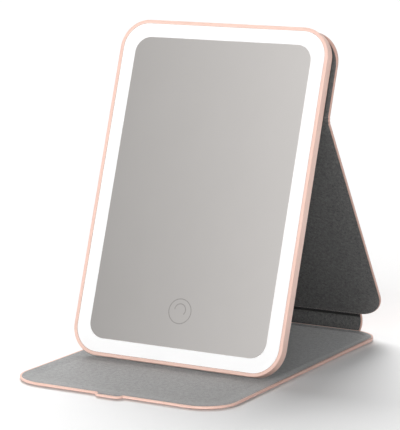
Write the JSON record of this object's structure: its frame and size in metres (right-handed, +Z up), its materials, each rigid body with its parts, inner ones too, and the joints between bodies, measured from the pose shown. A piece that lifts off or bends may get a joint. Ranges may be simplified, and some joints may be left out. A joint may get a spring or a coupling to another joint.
{
  "type": "lighted tabletop mirror",
  "caption": "Upright rectangular make-up mirror with a lit border, standing on a folding padded cover that props it up and folds shut round it.",
  "frame": {"origin": "centre of the base panel's underside, where the cover rests on the table", "axes": "+Z up, -Y towards the person who looks into the mirror, +X to that person's right"},
  "size_m": [0.1536, 0.245, 0.2139],
  "materials": {
    "frame_pink": "satin moulded",
    "opal": "opal, lit",
    "silvered_glass": "polished, silvered behind",
    "foam_tape": "foam with adhesive",
    "copper": "bare",
    "conductive_foam": "foam",
    "tray_white": "moulded",
    "board_white": "solder mask",
    "led_chip": "phosphor",
    "board_green": "solder mask",
    "chip_black": "moulded",
    "port_steel": "plated",
    "cell_foil": "foil pouch",
    "wire_red": "insulation",
    "shell_charcoal": "fine texture",
    "screw_steel": "plated",
    "magnet": "nickel plated",
    "leather_pink": "smooth coated",
    "lining_grey": "brushed microfibre",
    "greyboard": "plain"
  },
  "bodies": {
    "base": {"base_leather": "leather_pink", "base_stiffener": "greyboard", "base_lining": "lining_grey", "base_magnets": "magnet", "base_fold": "leather_pink"},
    "spine": {"spine_leather": "leather_pink", "spine_lining": "lining_grey", "prop_fold": "leather_pink"},
    "prop": {"prop_leather": "leather_pink", "prop_stiffener": "greyboard", "prop_lining": "lining_grey"},
    "mirror": {"front_frame": "frame_pink", "light_diffuser": "opal", "mirror_glass": "silvered_glass", "glass_tape": "foam_tape", "touch_electrode": "copper", "touch_contact": "conductive_foam", "inner_tray": "tray_white", "led_board": "board_white", "leds": "led_chip", "led_pins": "copper", "control_board": "board_green", "board_parts": "chip_black", "charging_port": "port_steel", "battery": "cell_foil", "battery_tape": "foam_tape", "battery_lead": "wire_red", "rear_shell": "shell_charcoal", "shell_screws": "screw_steel", "frame_magnets": "magnet", "cover_tape": "foam_tape", "strip_leather": "leather_pink", "strip_stiffener": "greyboard", "strip_lining": "lining_grey", "crease_fold": "leather_pink"}
  },
  "joints": [
    {"name": "cover_open", "type": "hinge", "parent": "base", "child": "spine", "pos_m": [0, 0.11985, 0.00035], "axis": [-1, 0, 0], "range_deg": [0, 87]},
    {"name": "prop_turn", "type": "hinge", "parent": "spine", "child": "prop", "pos_m": [0, 0.12049, 0.01253], "axis": [-1, 0, 0], "range_deg": [-8.1, 18.1]},
    {"name": "stand_fold", "type": "hinge", "parent": "prop", "child": "mirror", "pos_m": [0, 0.0168, 0.15745], "axis": [1, 0, 0], "range_deg": [-23, 52]}
  ],
  "couplings": [
    {"joint": "prop_turn", "follows": "stand_fold", "ratio": 0.3435}
  ]
}
